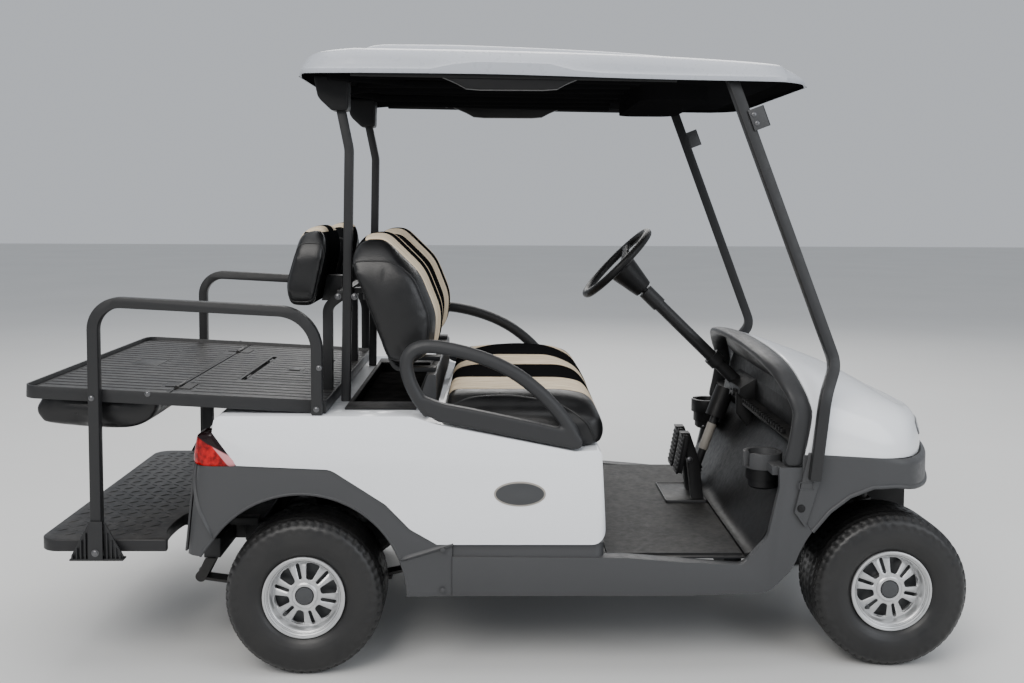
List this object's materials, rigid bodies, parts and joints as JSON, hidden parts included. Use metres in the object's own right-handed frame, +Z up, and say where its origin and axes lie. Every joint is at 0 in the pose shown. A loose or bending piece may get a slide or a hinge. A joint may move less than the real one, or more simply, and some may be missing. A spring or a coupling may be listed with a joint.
{
  "type": "golf cart",
  "caption": "Electric golf cart with a roof, a bench seat, a rear bed whose end turns over into a rear-facing seat, and a rear footplate.",
  "frame": {"origin": "on the ground below the middle of the cart's length and width", "axes": "+X forward, +Y to the cart's left, +Z up"},
  "size_m": [2.6657, 1.2, 1.786],
  "materials": {
    "body_white": "gloss light grey-white moulding",
    "trim_grey": "dark grey textured satin plastic",
    "black_plastic": "black satin plastic",
    "seat_vinyl": "black vinyl with beige stripes",
    "lamp_clear": "clear lamp cover",
    "lamp_red": "red lamp cover",
    "mat_rubber": "black ribbed mat",
    "step_plate": "black coated tread plate",
    "painted_tube": "dark grey powder coat",
    "steel_dark": "dark steel",
    "wheel_silver": "silver paint",
    "tyre": "black tyre rubber"
  },
  "bodies": {
    "chassis": {"armrests": "black_plastic", "bag_well": "black_plastic", "battery_pack": "black_plastic", "bed_frame": "painted_tube", "bed_plate": "black_plastic", "cup_holders": "black_plastic", "dash_brow": "trim_grey", "dash_panel": "black_plastic", "drive_motor": "steel_dark", "flip_hinges": "steel_dark", "floor_mat": "mat_rubber", "floor_pan": "step_plate", "footplate": "step_plate", "frame": "painted_tube", "front_axle": "steel_dark", "front_cowl": "body_white", "front_fenders": "trim_grey", "front_shocks": "steel_dark", "front_struts": "painted_tube", "front_underbody": "black_plastic", "grab_rails": "painted_tube", "head_lamps": "lamp_clear", "leaf_springs": "steel_dark", "pedals": "black_plastic", "rear_axle": "steel_dark", "rear_backs": "seat_vinyl", "rear_body": "body_white", "rear_fenders": "trim_grey", "rear_struts": "painted_tube", "roof": "body_white", "roof_liner": "black_plastic", "seat_back_frame": "painted_tube", "seat_backs": "seat_vinyl", "sills": "trim_grey", "steering_column": "painted_tube", "steering_gear": "steel_dark", "step_supports": "painted_tube", "storage_tub": "black_plastic", "strut_covers": "trim_grey", "strut_shrouds": "black_plastic", "tail_lights": "lamp_red", "toe_board": "black_plastic"},
    "wheel_front_left_body": {"wheel_front_left": "wheel_silver", "tyre_front_left": "tyre"},
    "wheel_front_right_body": {"wheel_front_right": "wheel_silver", "tyre_front_right": "tyre"},
    "wheel_rear_left_body": {"wheel_rear_left": "wheel_silver", "tyre_rear_left": "tyre"},
    "wheel_rear_right_body": {"wheel_rear_right": "wheel_silver", "tyre_rear_right": "tyre"},
    "knuckle_left_body": {"knuckle_left": "steel_dark"},
    "knuckle_right_body": {"knuckle_right": "steel_dark"},
    "tie_rod_body": {"tie_rod": "steel_dark"},
    "steering_wheel_body": {"steering_wheel": "black_plastic"},
    "rear_seat": {"flip_plate": "black_plastic", "flip_cushion": "seat_vinyl"},
    "storage_lid_body": {"storage_lid": "black_plastic"},
    "seat": {"seat_cushion": "seat_vinyl", "seat_board": "black_plastic"}
  },
  "joints": [
    {"name": "spin_front_left", "type": "hinge", "parent": "knuckle_left_body", "child": "wheel_front_left_body", "pos_m": [1.111, 0.438, 0.222], "axis": [0, 1, 0], "continuous": true},
    {"name": "spin_front_right", "type": "hinge", "parent": "knuckle_right_body", "child": "wheel_front_right_body", "pos_m": [1.111, -0.438, 0.222], "axis": [0, 1, 0], "continuous": true},
    {"name": "spin_rear_left", "type": "hinge", "parent": "chassis", "child": "wheel_rear_left_body", "pos_m": [-0.553, 0.489, 0.222], "axis": [0, 1, 0], "continuous": true},
    {"name": "spin_rear_right", "type": "hinge", "parent": "chassis", "child": "wheel_rear_right_body", "pos_m": [-0.553, -0.489, 0.222], "axis": [0, 1, 0], "continuous": true},
    {"name": "steer_left", "type": "hinge", "parent": "chassis", "child": "knuckle_left_body", "pos_m": [1.111, 0.322, 0.222], "axis": [0, 0, 1], "range_deg": [-28, 28]},
    {"name": "steer_right", "type": "hinge", "parent": "chassis", "child": "knuckle_right_body", "pos_m": [1.111, -0.322, 0.222], "axis": [0, 0, 1], "range_deg": [-28, 28]},
    {"name": "tie_rod_pivot", "type": "hinge", "parent": "knuckle_left_body", "child": "tie_rod_body", "pos_m": [1.006, 0.322, 0.222], "axis": [0, 0, 1], "range_deg": [-28, 28]},
    {"name": "steering_wheel_turn", "type": "hinge", "parent": "chassis", "child": "steering_wheel_body", "pos_m": [0.42897, 0.29, 1.08914], "axis": [-0.7173, 0, 0.6968], "range_deg": [-392, 392]},
    {"name": "flip_seat", "type": "hinge", "parent": "chassis", "child": "rear_seat", "pos_m": [-0.94288, 0, 0.78523], "axis": [0, 1, 0], "range_deg": [0, 180]},
    {"name": "storage_lid_hinge", "type": "hinge", "parent": "chassis", "child": "storage_lid_body", "pos_m": [-0.79847, 0.035, 0.7699], "axis": [0, 1, 0], "range_deg": [-100, 0]},
    {"name": "seat_lift", "type": "slide", "parent": "chassis", "child": "seat", "axis": [0, 0, 1], "range_m": [0, 0.15]}
  ],
  "couplings": [
    {"joint": "steer_right", "follows": "steer_left", "ratio": 1},
    {"joint": "tie_rod_pivot", "follows": "steer_left", "ratio": -1},
    {"joint": "steering_wheel_turn", "follows": "steer_left", "ratio": 14}
  ]
}
